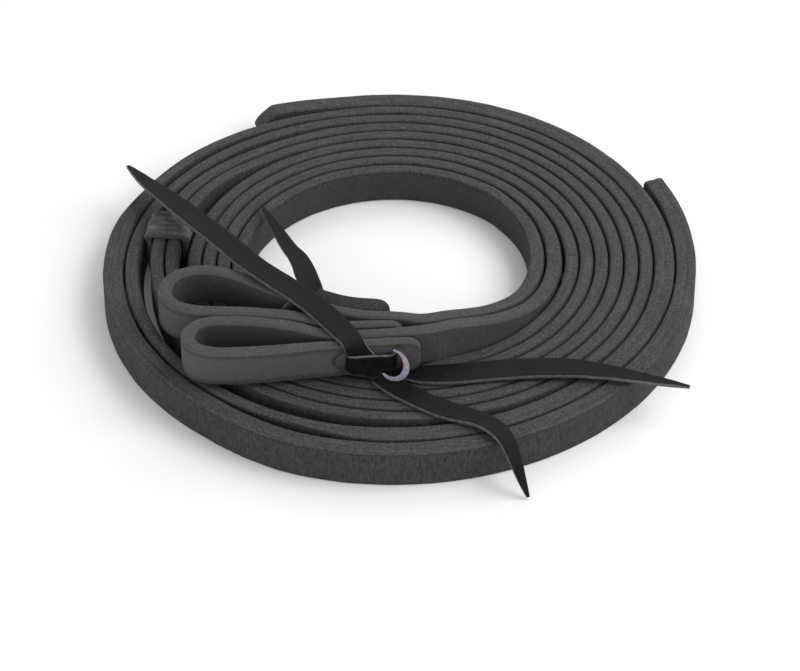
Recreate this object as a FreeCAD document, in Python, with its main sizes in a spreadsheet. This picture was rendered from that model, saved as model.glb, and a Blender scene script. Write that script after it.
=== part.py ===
import FreeCAD, Part
import math
import os

# A pair of split reins, wound together on edge in one flat coil.
# Millimetres. Z is up, the coil rests on z = 0, X to the right, Y away from the bit loops.
# The winding angle runs anticlockwise from +X and keeps counting past 360 degrees.

OUT = "parts"
os.makedirs(OUT, exist_ok=True)
doc = FreeCAD.newDocument("reins")

DIMS = [
    ("strap_width", 12.7, "half inch strap, standing on edge"),
    ("strap_thick", 4.6, "harness leather"),
    ("ply_thick", 2.2, "second ply at each weighted end"),
    ("ply_gap", 0.02, "glue line under the ply"),
    ("coil_start_radius", 46.6, "inner face at winding angle 0"),
    ("coil_pitch", 10.1, "both straps and their gaps, per turn"),
    ("pair_gap", 0.45, "between the two straps of a pair"),
    ("front_end_angle", 1467.0, "tail end of the front rein"),
    ("rear_end_angle", 1561.0, "tail end of the rear rein"),
    ("front_ply_angle", 1230.0, "where the front rein's ply starts"),
    ("rear_ply_angle", 1326.0, "where the rear rein's ply starts"),
    ("loop_height", 14.8, "underside of the bit loops above the rest plane"),
    ("hole_diameter", 6.5, "punched lace hole"),
    ("hole_height", 21.15, "centre of the lace holes"),
    ("keeper_angle", 170.0, "place of the keeper on the coil"),
    ("keeper_sweep", 9.4, "keeper width as an angle about the coil axis"),
    ("keeper_wall", 1.8, "keeper leather"),
    ("keeper_groove", 0.4, "depth of the keeper's grooves"),
    ("keeper_lift", 2.2, "the pair rises this much to pass through the keeper"),
    ("lace_thick", 1.5, "latigo lace"),
    ("tie_thick", 1.2, "the same lace pulled tight in the tie"),
    ("tie_height", 2.8, "crumpled lace inside a hole"),
    ("bridge_height", 7.0, "lace lying flat on the bit loop"),
]

sheet = doc.addObject("Spreadsheet::Sheet", "dimensions")
for row, (alias, value, note) in enumerate(DIMS, start=1):
    sheet.set("A%d" % row, alias)
    sheet.set("B%d" % row, "%g" % value)
    sheet.set("C%d" % row, note)
    sheet.setAlias("B%d" % row, alias)
doc.recompute()


def dim(alias):
    return float(sheet.get(alias))


WIDTH = dim("strap_width")
THICK = dim("strap_thick")
PLY = dim("ply_thick")
LOOP_Z = dim("loop_height")
KEEPER_TURN = 720.0 + dim("keeper_angle")
V = FreeCAD.Vector
UP = V(0, 0, 1)

# Plan centre lines from the tongue tip, round the bit loop and back to the coil: x, y, thickness.
FRONT_LOOP = [
    (7.4, -60.9, 2.6), (0.0, -61.2, 3.4), (-9.3, -62.0, 3.4), (-18.6, -63.1, 3.6),
    (-29.7, -64.4, 4.2), (-41.9, -66.2, 4.6), (-52.0, -67.1, 4.6), (-60.3, -67.1, 4.6),
    (-66.0, -64.7, 4.6), (-68.4, -59.0, 4.6), (-66.0, -53.3, 4.6), (-60.3, -50.9, 4.6),
    (-50.0, -51.2, 4.6), (-42.5, -51.9, 4.6), (-33.0, -53.9, 4.6), (-26.0, -57.0, 4.3),
    (-18.6, -58.8, 4.0), (-9.3, -57.8, 4.0), (0.0, -56.9, 4.0), (6.5, -55.2, 4.3),
    (12.2, -53.0, 4.5),
]
REAR_LOOP = [
    (1.7, -52.0, 2.6), (-9.3, -52.8, 3.4), (-18.6, -53.5, 3.6), (-26.0, -51.3, 4.1),
    (-33.0, -48.6, 4.5), (-42.0, -47.1, 4.6), (-51.0, -46.3, 4.6), (-60.0, -46.0, 4.6),
    (-66.5, -45.8, 4.6), (-74.2, -42.7, 4.6), (-77.35, -35.05, 4.6), (-74.2, -27.4, 4.6),
    (-66.5, -24.3, 4.6), (-59.5, -24.9, 4.6), (-51.6, -28.2, 4.6), (-43.0, -33.8, 4.6),
    (-33.0, -39.7, 4.6), (-24.0, -44.0, 4.4), (-17.0, -46.6, 4.1), (-9.3, -48.0, 4.0),
    (0.0, -48.4, 4.0), (4.0, -48.9, 4.2), (8.0, -48.9, 4.4), (12.0, -47.2, 4.6),
]
# Centre line of the first, rising stretch: winding angle, radius, thickness.
FRONT_START = [
    (-70, 52.3, 4.7), (-60, 52.0, 5.0), (-50, 52.0, 5.2), (-40, 52.1, 5.3), (-30, 52.3, 5.4),
    (-20, 52.5, 5.4), (-10, 52.8, 5.4), (0, 53.3, 5.4), (15, 54.1, 5.2), (30, 54.7, 4.9),
    (45, 55.25, 4.6),
]
REAR_START = [
    (-70, 47.4, 4.6), (-60, 46.7, 4.6), (-50, 46.2, 4.7), (-40, 46.0, 4.9), (-30, 46.1, 5.0),
    (-20, 46.4, 5.1), (-10, 46.8, 5.2), (0, 47.3, 5.2), (15, 48.3, 5.0), (30, 49.3, 4.8),
    (45, 50.1, 4.6),
]
START_END = 45.0


def ease(x):
    x = max(0.0, min(1.0, x))
    return x * x * (3.0 - 2.0 * x)


def bump(a, centre, before, after):
    if a < centre:
        return ease(1.0 - (centre - a) / before)
    return ease(1.0 - (a - centre) / after)


def inner_radius(a):
    """Inner face of the rear rein: an even spiral, pushed out where the keeper takes up room."""
    r = dim("coil_start_radius") + dim("coil_pitch") * a / 360.0
    r += 2.7 * bump(a, KEEPER_TURN - 13.0, 45.0, 108.0)
    r += 6.0 * bump(a, 1263.0, 90.0, 162.0)
    r += 4.2 * ease((a - 1540.0) / 22.0)
    return r


def front_radius(a):
    """Inner face of the front rein, lying against the rear rein."""
    gap = dim("pair_gap") + 1.3 * bump(a, 1224.0, 40.0, 30.0) + 1.3 * ease((a - 1440.0) / 30.0)
    ply = PLY * ease((a - dim("rear_ply_angle") + 18.0) / 24.0)
    return inner_radius(a) + THICK + ply + gap


def lift(a):
    """Height of the strap's lower edge: up to the bit loops, and over the keeper's lower side."""
    if a < 400.0:
        return LOOP_Z * ease((-12.0 - a) / 80.0)
    return dim("keeper_lift") * ease((44.0 - abs(a - KEEPER_TURN)) / 34.0)


def polar(r, a):
    t = math.radians(a)
    return (r * math.cos(t), r * math.sin(t))


def smooth_line(points, step):
    """Centripetal curve through hand-placed points, as evenly spaced stations."""
    first = tuple(2 * a - b for a, b in zip(points[0], points[1]))
    last = tuple(2 * a - b for a, b in zip(points[-1], points[-2]))
    row = [first] + list(points) + [last]
    out = []
    for i in range(1, len(row) - 2):
        p = row[i - 1:i + 3]
        d = [math.dist(p[k][:2], p[k + 1][:2]) ** 0.5 for k in range(3)]
        knots = [-d[0], 0.0, d[1], d[1] + d[2]]
        count = max(1, round(math.dist(p[1][:2], p[2][:2]) / step))
        for k in range(count):
            t = d[1] * k / count
            level = [list(q) for q in p]
            for span in (1, 2):
                nxt = []
                for j in range(len(level) - 1):
                    lo = knots[j] if span == 1 else knots[j]
                    hi = knots[j + span]
                    w = (t - lo) / (hi - lo)
                    nxt.append([u * (1 - w) + v * w for u, v in zip(level[j], level[j + 1])])
                level = nxt
            w = (t - knots[1]) / (knots[2] - knots[1])
            out.append(tuple(u * (1 - w) + v * w for u, v in zip(level[0], level[1])))
    out.append(tuple(points[-1]))
    return out


def stations(loop, start, radius_of, end_angle):
    """All stations of one rein: x, y, lower edge z, thickness, winding angle."""
    head = smooth_line(loop + [polar(r, a) + (t,) for a, r, t in start], 2.4)
    rows = []
    apex = min(head)[0]
    returning = False
    for x, y, t in head:
        a = math.degrees(math.atan2(y, x))
        returning = returning or x == apex
        z = lift(a) if returning and x > 0 else LOOP_Z
        rows.append((x, y, z, t, a))
    a = START_END
    while a < end_angle - 0.01:
        a = min(a + 3.0, end_angle)
        x, y = polar(radius_of(a) + THICK / 2, a)
        rows.append((x, y, lift(a), THICK, a))
    return rows


def sides(rows, left=None, right=None):
    """Offset each station square to the run; left is the coil's inner side."""
    out = []
    for i, row in enumerate(rows):
        a = rows[max(i - 1, 0)]
        b = rows[min(i + 1, len(rows) - 1)]
        dx = b[0] - a[0]
        dy = b[1] - a[1]
        n = math.hypot(dx, dy)
        dx, dy = dx / n, dy / n
        lo = -row[3] / 2 if left is None else left
        hi = row[3] / 2 if right is None else right
        out.append((V(row[0] + dy * lo, row[1] - dx * lo, row[2]),
                    V(row[0] + dy * hi, row[1] - dx * hi, row[2])))
    return out


def arc_edges(points):
    """Arcs through every second point, so the outline stays smooth."""
    edges = []
    i = 0
    while i < len(points) - 1:
        if i + 2 < len(points):
            a, b, c = points[i:i + 3]
            if (b - a).cross(c - b).Length > 1e-4:
                edges.append(Part.Arc(a, b, c).toShape())
            else:
                edges.append(Part.makeLine(a, c))
            i += 2
        else:
            edges.append(Part.makeLine(points[i], points[i + 1]))
            i += 1
    return edges


def flat_face(pairs):
    inner = [p for p, q in pairs]
    outer = [q for p, q in pairs]
    edges = arc_edges(inner)
    edges.append(Part.makeLine(inner[-1], outer[-1]))
    edges += arc_edges(list(reversed(outer)))
    edges.append(Part.makeLine(outer[0], inner[0]))
    return Part.Face(Part.Wire(edges))


def upright(pair, height):
    p, q = pair
    return Part.makePolygon([p, q, q + UP * height, p + UP * height, p])


def rising_solid(pairs, height):
    return Part.makeLoft([upright(pair, height) for pair in pairs], True, True)


def feature(name, shape):
    obj = doc.addObject("Part::Feature", name)
    obj.Shape = shape
    return obj


def extruded(name, face):
    """A flat stretch of strap: its plan outline raised by the strap width."""
    base = feature(name + "_outline", face)
    obj = doc.addObject("Part::Extrusion", name)
    obj.Base = base
    obj.DirMode = "Custom"
    obj.Dir = UP
    obj.Solid = True
    obj.setExpression("LengthFwd", "dimensions.strap_width")
    return obj


def split_runs(rows):
    """Cut a rein into level stretches and rising stretches that share their end stations."""
    kinds = []
    for i in range(len(rows) - 1):
        kinds.append(abs(rows[i + 1][2] - rows[i][2]) > 1e-6)
    runs = []
    i = 0
    while i < len(kinds):
        j = i
        while j < len(kinds) and kinds[j] == kinds[i]:
            j += 1
        runs.append((kinds[i], i, j))
        i = j
    return runs


def fused(name, pieces):
    obj = doc.addObject("Part::MultiFuse", name)
    obj.Shapes = pieces
    obj.Refine = True
    return obj


def cut(name, base, tool):
    obj = doc.addObject("Part::Cut", name)
    obj.Base = base
    obj.Tool = tool
    return obj


def strap(name, rows):
    pairs = sides(rows)
    pieces = []
    for rising, i, j in split_runs(rows):
        label = "%s_run_%d" % (name, len(pieces) + 1)
        if rising:
            pieces.append(feature(label, rising_solid(pairs[i:j + 1], WIDTH)))
        else:
            pieces.append(extruded(label, flat_face(pairs[i:j + 1])))
    return fused(name + "_strap", pieces)


def hole_cutter(name, x, y, length):
    """A punched hole through both legs of a bit loop."""
    obj = doc.addObject("Part::Cylinder", name)
    obj.setExpression("Radius", "dimensions.hole_diameter / 2")
    obj.Height = length
    obj.Placement = FreeCAD.Placement(V(x, y, dim("hole_height")), FreeCAD.Rotation(V(1, 0, 0), 90))
    return obj


def ribbon(path, thickness):
    """Flat lace along stations (x, y, z, width, width direction), as a ruled solid."""
    wires = []
    for i, (x, y, z, width, across) in enumerate(path):
        a = path[max(i - 1, 0)]
        b = path[min(i + 1, len(path) - 1)]
        along = V(b[0] - a[0], b[1] - a[1], b[2] - a[2]).normalize()
        w = V(*across)
        w = (w - along * w.dot(along)).normalize()
        n = along.cross(w).normalize()
        c = V(x, y, z)
        hw = w * (width / 2)
        ht = n * (thickness / 2)
        wires.append(Part.makePolygon([c - hw - ht, c + hw - ht, c + hw + ht, c - hw + ht, c - hw - ht]))
    return Part.makeLoft(wires, True, True)


def box(x0, x1, y0, y1, z0, z1):
    return Part.makeBox(x1 - x0, y1 - y0, z1 - z0, V(x0, y0, z0))


# ---- the two reins ----
front_rows = stations(FRONT_LOOP, FRONT_START, front_radius, dim("front_end_angle"))
rear_rows = stations(REAR_LOOP, REAR_START, inner_radius, dim("rear_end_angle"))
front_strap = strap("front", front_rows)
rear_strap = strap("rear", rear_rows)

FRONT_HOLES = (-17.5, -0.6)
REAR_HOLES = (-17.8, -4.5)
front_cut = fused("front_holes", [
    hole_cutter("front_hole_1", FRONT_HOLES[0], -54.8, 11.0),
    hole_cutter("front_hole_2", FRONT_HOLES[1], -54.0, 11.0),
])
rear_cut = fused("rear_holes", [
    hole_cutter("rear_hole_1", REAR_HOLES[0], -42.5, 14.0),
    hole_cutter("rear_hole_2", REAR_HOLES[1], -44.0, 11.0),
])
rein_front = cut("rein_front_strap", front_strap, front_cut)
rein_rear = cut("rein_rear_strap", rear_strap, rear_cut)


# ---- second ply at each weighted end ----
def ply(name, rows, first):
    """Thin layer on the strap's outer face; it starts on a station that pairs with the strap's arcs."""
    start = next(i for i, row in enumerate(rows) if row[4] >= first and row[4] > 360.0)
    start += (len(rows) - 1 - start) % 2
    inner = THICK / 2 + dim("ply_gap")
    pairs = sides(rows, inner, inner + PLY)[start:]
    for k in range(4):
        p, q = pairs[k]
        pairs[k] = (p, p + (q - p) * ((k + 1) / 5))
    return extruded(name, flat_face(pairs))


front_ply = ply("rein_front_end_ply", front_rows, dim("front_ply_angle"))
rear_ply = ply("rein_rear_end_ply", rear_rows, dim("rear_ply_angle"))

# ---- keeper ----
pair_in = inner_radius(KEEPER_TURN)
pair_out = front_radius(KEEPER_TURN) + THICK
wall = dim("keeper_wall")
play = 0.45
z_top = dim("keeper_lift") + WIDTH + 0.3 + wall


def ring_face(x0, x1, z0, z1, hole):
    """Rounded band outline in the XZ plane, with the strap opening cut out."""
    def rounded(a, b, c, d, r):
        p = [V(a + r, 0, c), V(b - r, 0, c), V(b, 0, c + r), V(b, 0, d - r),
             V(b - r, 0, d), V(a + r, 0, d), V(a, 0, d - r), V(a, 0, c + r)]
        h = r * (1 - math.sqrt(0.5))
        m = [V(b - h, 0, c + h), V(b - h, 0, d - h), V(a + h, 0, d - h), V(a + h, 0, c + h)]
        edges = []
        for k in range(4):
            edges.append(Part.makeLine(p[2 * k], p[2 * k + 1]))
            edges.append(Part.Arc(p[2 * k + 1], m[k], p[(2 * k + 2) % 8]).toShape())
        return Part.Wire(edges)
    outer = Part.Face(rounded(x0, x1, z0, z1, 2.2))
    inner = Part.Face(rounded(x0 + hole, x1 - hole, z0 + hole, z1 - hole, 0.4))
    return outer.cut(inner)


def turned(name, face, sweep, centre):
    base = feature(name + "_outline", face)
    obj = doc.addObject("Part::Revolution", name)
    obj.Source = base
    obj.Axis = UP
    obj.Base = V(0, 0, 0)
    obj.Solid = True
    obj.Symmetric = True
    if isinstance(sweep, str):
        obj.setExpression("Angle", sweep)
    else:
        obj.Angle = sweep
    obj.Placement = FreeCAD.Placement(V(0, 0, 0), FreeCAD.Rotation(UP, centre))
    return obj


band_face = ring_face(pair_in - play - wall, pair_out + play + wall, 0.0, z_top, wall)
band = turned("keeper_band", band_face, "dimensions.keeper_sweep", dim("keeper_angle"))
groove = dim("keeper_groove")
groove_face = ring_face(pair_in - play - wall - 1, pair_out + play + wall + 1, -1.0, z_top + 1, 1 + groove)
grooves = []
for k in range(4):
    centre = dim("keeper_angle") + (k - 1.5) * dim("keeper_sweep") / 4.4
    grooves.append(turned("keeper_groove_%d" % (k + 1), groove_face, 0.45, centre))
keeper = cut("keeper", band, fused("keeper_grooves", grooves))

# ---- lace ties ----
lace = dim("lace_thick")
tight = dim("tie_thick")
hole_z = dim("hole_height")
bridge = dim("bridge_height")


def tie_ring(x0, x1, y_front0, y_front1, y_back0, y_back1, z0, z1):
    """Lace through two holes: a front bridge, two strands through the leather, a back strand."""
    front = Part.makePolygon([V(x0, y_front0, z0), V(x1, y_front1, z0), V(x1, y_back1, z0),
                              V(x0, y_back0, z0), V(x0, y_front0, z0)])
    outer = Part.Face(front.makeOffset2D(tight / 2))
    inner = Part.Face(front.makeOffset2D(-tight / 2))
    return outer.cut(inner).extrude(UP * (z1 - z0))


# front rein: bridge on the near face of the loop, back strand between the two reins
x0, x1 = FRONT_HOLES
near0, near1 = -66.5, -64.75
z_high = hole_z + 0.15
ring = tie_ring(x0, x1, near0, near1, -56.0, -54.2, z_high, z_high + dim("tie_height"))
slab = Part.Face(Part.makePolygon([
    V(x0 - 0.6, near0 - 0.6, hole_z - bridge / 2), V(x1 + 0.6, near1 - 0.6, hole_z - bridge / 2),
    V(x1 + 0.6, near1 + 0.6, hole_z - bridge / 2), V(x0 - 0.6, near0 + 0.6, hole_z - bridge / 2),
    V(x0 - 0.6, near0 - 0.6, hole_z - bridge / 2)]))
bridge_solid = slab.extrude(UP * bridge)
# the strand tucked under the bridge, from the upper edge of the loop to the lower edge
FLAT = (1, 0.1, 0)
under = ribbon([
    (-14.6, -64.3, 28.6, 7.2, (0.87, 0.49, 0)), (-14.2, -64.9, 28.2, 7.1, (1, 0.3, 0.05)),
    (-13.6, -65.0, 27.1, 7.0, FLAT), (-12.4, -64.8, 25.0, 7.0, FLAT),
    (-10.2, -64.6, 21.6, 7.0, FLAT), (-8.0, -64.3, 18.4, 7.0, FLAT), (-6.4, -64.2, 16.2, 7.0, FLAT),
    (-5.4, -64.4, 14.9, 7.0, FLAT), (-4.9, -65.0, 14.2, 7.0, (0.87, 0.4, 0))], tight)
# the lace edge curling round the second hole
curl_x = x1 - 1.4
curl_z = hole_z - 0.25


def curl_arc(radius):
    points = []
    for a in (60.0, -36.0, -132.0):
        t = math.radians(a)
        points.append(V(curl_x + radius * math.cos(t), -64.9, curl_z + radius * math.sin(t)))
    return points


outer_arc = curl_arc(5.6)
inner_arc = curl_arc(4.4)
curl_wire = Part.Wire([
    Part.Arc(outer_arc[0], outer_arc[1], outer_arc[2]).toShape(), Part.makeLine(outer_arc[2], inner_arc[2]),
    Part.Arc(inner_arc[2], inner_arc[1], inner_arc[0]).toShape(), Part.makeLine(inner_arc[0], outer_arc[0])])
curl = Part.Face(curl_wire).extrude(V(0, 1.7, 0))
front_tie = fused("lace_front_tie", [
    feature("front_tie_ring", ring), feature("front_tie_bridge", bridge_solid),
    feature("front_tie_under", under), feature("front_tie_curl", curl)])

# rear rein: strand between the reins below the other one, free strand along the far top edge
x0, x1 = REAR_HOLES
z_low = hole_z - 0.15 - dim("tie_height")
ring = tie_ring(x0, x1, -56.0, -54.65, -43.6, -45.3, z_low, z_low + dim("tie_height"))
TILT = (0.12, 0.94, 0.33)
top_strand = ribbon([
    (-26.9, -36.0, 25.6, 4.8, TILT), (-22.0, -38.6, 26.6, 4.8, TILT), (-16.0, -40.9, 27.2, 4.6, TILT),
    (-9.0, -42.6, 27.3, 4.6, TILT), (-5.6, -43.3, 26.8, 4.4, TILT), (-4.2, -43.9, 24.6, 4.0, (0.9, 0.5, 0.3)),
    (-4.4, -44.6, 21.6, 3.2, (1, 0.1, 0)), (-4.5, -45.2, 19.4, 2.8, (1, 0, 0))], lace)
low_strand = ribbon([
    (-4.6, -54.65, 19.6, 2.6, (1, 0, 0)), (-4.6, -54.65, 16.2, 2.6, (1, 0, 0)),
    (-4.4, -54.75, 14.4, 3.4, (1, 0.1, 0)), (-3.8, -56.0, 13.75, 5.0, (1, -0.3, 0)),
    (0.4, -59.6, 13.75, 7.0, (0.8, 0.6, 0)), (4.6, -62.4, 13.75, 7.6, (0.45, 0.9, 0)),
    (6.4, -63.1, 13.75, 8.2, (0.15, 1, 0)), (9.8, -63.1, 13.75, 8.6, (0, 1, 0))], tight)
rear_tie = fused("lace_rear_tie", [
    feature("rear_tie_ring", ring), feature("rear_tie_top", top_strand), feature("rear_tie_low", low_strand)])

# ---- lace tails: x, y, z, width, width direction ----
TAIL_LONG = [
    (-14.85, -63.55, 28.65, 7.2, (0.87, 0.49, 0)), (-16.6, -60.8, 28.65, 7.8, (0.86, 0.5, 0)),
    (-20.3, -55.0, 28.6, 8.4, (0.84, 0.54, 0)), (-32.0, -40.2, 28.65, 8.8, (0.8, 0.62, -0.08)),
    (-49.0, -22.3, 28.7, 8.8, (0.72, 0.7, -0.1)), (-57.8, -10.0, 27.4, 8.8, (0.78, 0.62, -0.1)),
    (-66.8, 3.1, 25.2, 8.8, (0.8, 0.6, -0.1)), (-76.5, 18.0, 22.6, 8.0, (0.82, 0.56, -0.1)),
    (-85.6, 31.9, 19.6, 5.8, (0.84, 0.54, -0.1)), (-91.0, 41.5, 17.4, 3.2, (0.86, 0.5, -0.1)),
    (-94.4, 48.0, 15.8, 1.2, (0.87, 0.5, -0.1)),
]
TAIL_FRONT = [
    (-4.5, -65.8, 14.1, 7.0, (0.87, 0.4, 0)), (-2.6, -67.8, 13.9, 7.6, (0.8, 0.6, 0)),
    (2.0, -71.6, 13.8, 8.0, (0.6, 0.8, 0)), (10.3, -77.8, 13.8, 8.0, (0.5, 0.85, 0)),
    (18.0, -82.0, 13.9, 7.8, (0.5, 0.85, 0)), (26.2, -85.6, 14.3, 7.4, (0.6, 0.8, -0.1)),
    (31.2, -90.2, 14.7, 6.6, (0.85, 0.55, -0.1)), (34.6, -96.0, 14.7, 5.6, (0.95, 0.35, 0)),
    (36.6, -101.2, 13.0, 4.6, (0.95, 0.3, 0)), (38.4, -104.6, 8.4, 3.4, (0.95, 0.3, 0)),
    (39.9, -106.2, 4.2, 2.2, (0.95, 0.3, 0)), (41.2, -107.4, 0.9, 1.1, (0.95, 0.3, 0)),
]
TAIL_RIGHT = [
    (10.15, -63.1, 13.8, 8.6, (0, 1, 0)),
    (17.0, -62.9, 13.9, 9.0, (-0.05, 1, 0)), (28.0, -61.9, 14.2, 9.0, (-0.08, 1, 0)),
    (36.0, -61.0, 14.6, 9.0, (-0.05, 1, 0)), (52.6, -61.0, 15.2, 8.8, (0.05, 1, 0)),
    (62.0, -62.2, 15.3, 7.6, (0.15, 1, 0)), (72.0, -64.0, 15.0, 6.0, (0.2, 1, 0)),
    (83.0, -66.7, 14.6, 3.6, (0.22, 1, 0)), (94.2, -69.4, 14.2, 1.2, (0.22, 1, 0)),
]
TAIL_INNER = [
    (-27.9, -32.9, 25.5, 6.8, (0.95, 0.3, 0)), (-29.0, -29.6, 25.2, 7.0, (1, 0.2, 0)),
    (-30.2, -25.0, 24.4, 7.2, (1, 0.1, 0.05)), (-31.8, -17.0, 22.7, 7.0, (1, 0.1, 0)),
    (-33.6, -10.0, 20.9, 6.2, (1, 0.25, 0)), (-36.4, -3.6, 19.2, 5.2, (1, 0.35, 0)),
    (-39.4, 5.5, 17.4, 4.4, (1, 0.35, 0)), (-42.6, 14.6, 16.0, 3.4, (1, 0.4, 0)),
    (-46.9, 26.2, 14.6, 1.1, (1, 0.4, 0)),
]
tail_long = feature("lace_front_tail_long", ribbon(TAIL_LONG, lace))
tail_front = feature("lace_front_tail_short", ribbon(TAIL_FRONT, lace))
tail_right = feature("lace_rear_tail_long", ribbon(TAIL_RIGHT, lace))
tail_inner = feature("lace_rear_tail_short", ribbon(TAIL_INNER, lace))

doc.recompute()

NODES = [rein_front, rein_rear, front_ply, rear_ply, keeper, front_tie, rear_tie,
         tail_long, tail_front, tail_right, tail_inner]

for obj in doc.Objects:
    if "Invalid" in obj.State or "Error" in obj.State:
        raise RuntimeError("object %s is %s" % (obj.Name, obj.State))

for obj in NODES:
    obj.Label = obj.Name
    shape = obj.Shape
    if not shape.isValid():
        raise RuntimeError("%s is not valid" % obj.Name)
    if len(shape.Solids) != 1:
        print("NOTE %s has %d solids" % (obj.Name, len(shape.Solids)))
    b = shape.BoundBox
    print("%-24s vol %9.1f  X %.1f %.1f  Y %.1f %.1f  Z %.2f %.2f" % (
        obj.Name, shape.Volume, b.XMin, b.XMax, b.YMin, b.YMax, b.ZMin, b.ZMax))
    shape.exportStep("%s/%s.step" % (OUT, obj.Name))


def run_length(rows):
    total = 0.0
    for p, q in zip(rows, rows[1:]):
        total += math.dist(p[:3], q[:3])
    return total


for name, rows in (("front", front_rows), ("rear", rear_rows)):
    section = sum((p[3] + q[3]) / 2 * math.dist(p[:2], q[:2]) for p, q in zip(rows, rows[1:]))
    print("%s rein: length %.1f mm, width x section path %.1f mm3" % (name, run_length(rows), section * WIDTH))
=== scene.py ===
import bpy
import math
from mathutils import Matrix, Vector, noise
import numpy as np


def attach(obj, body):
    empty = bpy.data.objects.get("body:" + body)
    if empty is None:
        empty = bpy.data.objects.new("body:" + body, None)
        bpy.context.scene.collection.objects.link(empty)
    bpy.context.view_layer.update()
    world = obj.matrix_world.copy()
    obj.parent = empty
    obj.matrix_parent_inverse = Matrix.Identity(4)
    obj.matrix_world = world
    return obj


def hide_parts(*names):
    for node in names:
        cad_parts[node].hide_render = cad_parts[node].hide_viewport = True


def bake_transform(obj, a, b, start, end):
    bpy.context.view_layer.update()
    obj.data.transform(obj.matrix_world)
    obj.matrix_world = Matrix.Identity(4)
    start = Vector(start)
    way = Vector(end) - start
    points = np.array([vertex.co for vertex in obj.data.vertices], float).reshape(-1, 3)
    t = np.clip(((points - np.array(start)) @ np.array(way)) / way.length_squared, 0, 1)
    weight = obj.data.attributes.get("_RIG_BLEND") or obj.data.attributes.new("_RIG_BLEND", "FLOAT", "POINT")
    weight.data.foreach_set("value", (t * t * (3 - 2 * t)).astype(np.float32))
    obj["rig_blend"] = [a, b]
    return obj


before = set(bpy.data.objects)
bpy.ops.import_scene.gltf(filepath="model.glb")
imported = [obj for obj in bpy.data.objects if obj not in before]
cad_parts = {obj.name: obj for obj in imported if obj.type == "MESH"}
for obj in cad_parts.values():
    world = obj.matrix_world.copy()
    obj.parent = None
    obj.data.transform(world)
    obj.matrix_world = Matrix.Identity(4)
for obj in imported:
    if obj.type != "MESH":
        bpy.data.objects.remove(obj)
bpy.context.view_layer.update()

MM = 0.001
scene = bpy.context.scene
scene.view_settings.view_transform = "Standard"


def linked(name, data):
    """New object that holds this data, in the scene."""
    obj = bpy.data.objects.new(name, data)
    scene.collection.objects.link(obj)
    return obj


# ---------------------------------------------------------------- camera
camera_data = bpy.data.cameras.new("camera")
camera_data.sensor_width = 36.0
camera_data.lens = 152.7
camera_data.shift_y = -0.0856
camera = linked("camera", camera_data)
camera.location = Vector((0.7, -905.6, 721.5)) * MM
camera.rotation_euler = (math.radians(51.8), 0.0, 0.0)
scene.camera = camera

# ---------------------------------------------------------------- the route of each rein, in mm
WIDTH = 12.7
THICK = 4.6
PLY = 2.2
CLEAR = 0.45  # between two straps, and between the keeper and the pair
LOOP_Z = 14.8  # lower edge of the bit loops, on top of the coil
HOLE_Z = LOOP_Z + WIDTH / 2
HOLE_RADIUS = 3.25

# winding angles in degrees, counted on from one turn to the next
FIRST_SPIRAL = 45.0
SPIRAL_STEP = 6.0
KEEPER_TURN = 890.0
FRONT_END = 1467.0
REAR_END = 1561.0
FRONT_PLY = 1230.0
REAR_PLY = 1326.0

# lengths in mm along the rein from its tongue tip
LOOP_LEGS = 130.0
HANDLED_FROM = 235.0
HANDLED_TO = 170.0

# centre line and thickness of each bit loop: x, y, thickness
FRONT_LOOP = [
    (7.4, -60.9, 2.6), (0.0, -61.2, 3.4), (-9.3, -62.0, 3.4), (-18.6, -63.1, 3.6),
    (-29.7, -64.4, 4.2), (-41.9, -66.2, 4.6), (-52.0, -67.1, 4.6), (-60.3, -67.1, 4.6),
    (-66.0, -64.7, 4.6), (-68.4, -59.0, 4.6), (-66.0, -53.3, 4.6), (-60.3, -50.9, 4.6),
    (-50.0, -51.2, 4.6), (-42.5, -51.9, 4.6), (-33.0, -53.9, 4.6), (-26.0, -57.0, 4.3),
    (-18.6, -58.8, 4.0), (-9.3, -57.8, 4.0), (0.0, -56.9, 4.0), (6.5, -55.2, 4.3),
    (12.2, -53.0, 4.5),
]
REAR_LOOP = [
    (1.7, -52.0, 2.6), (-9.3, -52.8, 3.4), (-18.6, -53.5, 3.6), (-26.0, -51.3, 4.1),
    (-33.0, -48.6, 4.5), (-42.0, -47.1, 4.6), (-51.0, -46.3, 4.6), (-60.0, -46.0, 4.6),
    (-66.5, -45.8, 4.6), (-74.2, -42.7, 4.6), (-77.35, -35.05, 4.6), (-74.2, -27.4, 4.6),
    (-66.5, -24.3, 4.6), (-59.5, -24.9, 4.6), (-51.6, -28.2, 4.6), (-43.0, -33.8, 4.6),
    (-33.0, -39.7, 4.6), (-24.0, -44.0, 4.4), (-17.0, -46.6, 4.1), (-9.3, -48.0, 4.0),
    (0.0, -48.4, 4.0), (4.0, -48.9, 4.2), (8.0, -48.9, 4.4), (12.0, -47.2, 4.6),
]
# the first turn, where both straps come down out of their loops: winding angle, radius, thickness
FRONT_START = [
    (-70, 52.3, 4.7), (-60, 52.0, 5.0), (-50, 52.0, 5.2), (-40, 52.1, 5.3), (-30, 52.3, 5.4),
    (-20, 52.5, 5.4), (-10, 52.8, 5.4), (0, 53.3, 5.4), (15, 54.1, 5.2), (30, 54.7, 4.9),
    (45, 55.25, 4.6),
]
REAR_START = [
    (-70, 47.4, 4.6), (-60, 46.7, 4.6), (-50, 46.2, 4.7), (-40, 46.0, 4.9), (-30, 46.1, 5.0),
    (-20, 46.4, 5.1), (-10, 46.8, 5.2), (0, 47.3, 5.2), (15, 48.3, 5.0), (30, 49.3, 4.8),
    (45, 50.1, 4.6),
]


def ease(x):
    """Smooth step from 0 to 1."""
    x = max(0.0, min(1.0, x))
    return x * x * (3.0 - 2.0 * x)


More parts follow.
